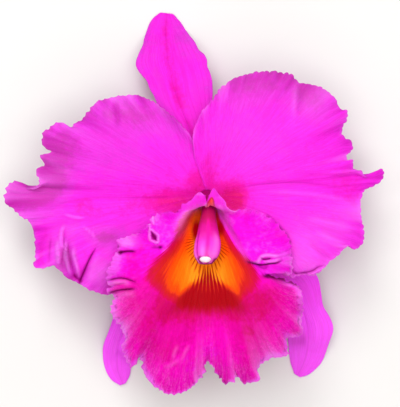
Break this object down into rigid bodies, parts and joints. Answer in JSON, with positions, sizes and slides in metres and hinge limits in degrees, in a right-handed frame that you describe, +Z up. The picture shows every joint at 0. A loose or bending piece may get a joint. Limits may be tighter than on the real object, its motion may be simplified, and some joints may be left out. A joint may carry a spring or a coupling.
{
  "type": "orchid bloom",
  "caption": "Picked cattleya orchid bloom lying face up: ruffled petals, narrow sepals, a frilled lip with an orange throat, a column, and a short cut stalk.",
  "frame": {"origin": "on the surface that the bloom lies on, below the middle of the whole bloom", "axes": "+Z up through the bloom's face, +Y from the lip towards the upper sepal, +X towards the right petal as the bloom is looked down on"},
  "size_m": [0.1612, 0.1641, 0.0598],
  "materials": {
    "petal": "satin",
    "sepal": "satin",
    "lip": "satin",
    "column": "satin",
    "anther_cap": "satin",
    "pollinia": "satin",
    "stalk": "satin"
  },
  "bodies": {
    "root": {"left_petal": "petal", "right_petal": "petal", "upper_sepal": "sepal", "left_sepal": "sepal", "right_sepal": "sepal", "lip": "lip", "column": "column", "anther_cap": "anther_cap", "pollinia": "pollinia", "ovary_and_stalk": "stalk"}
  },
  "joints": []
}
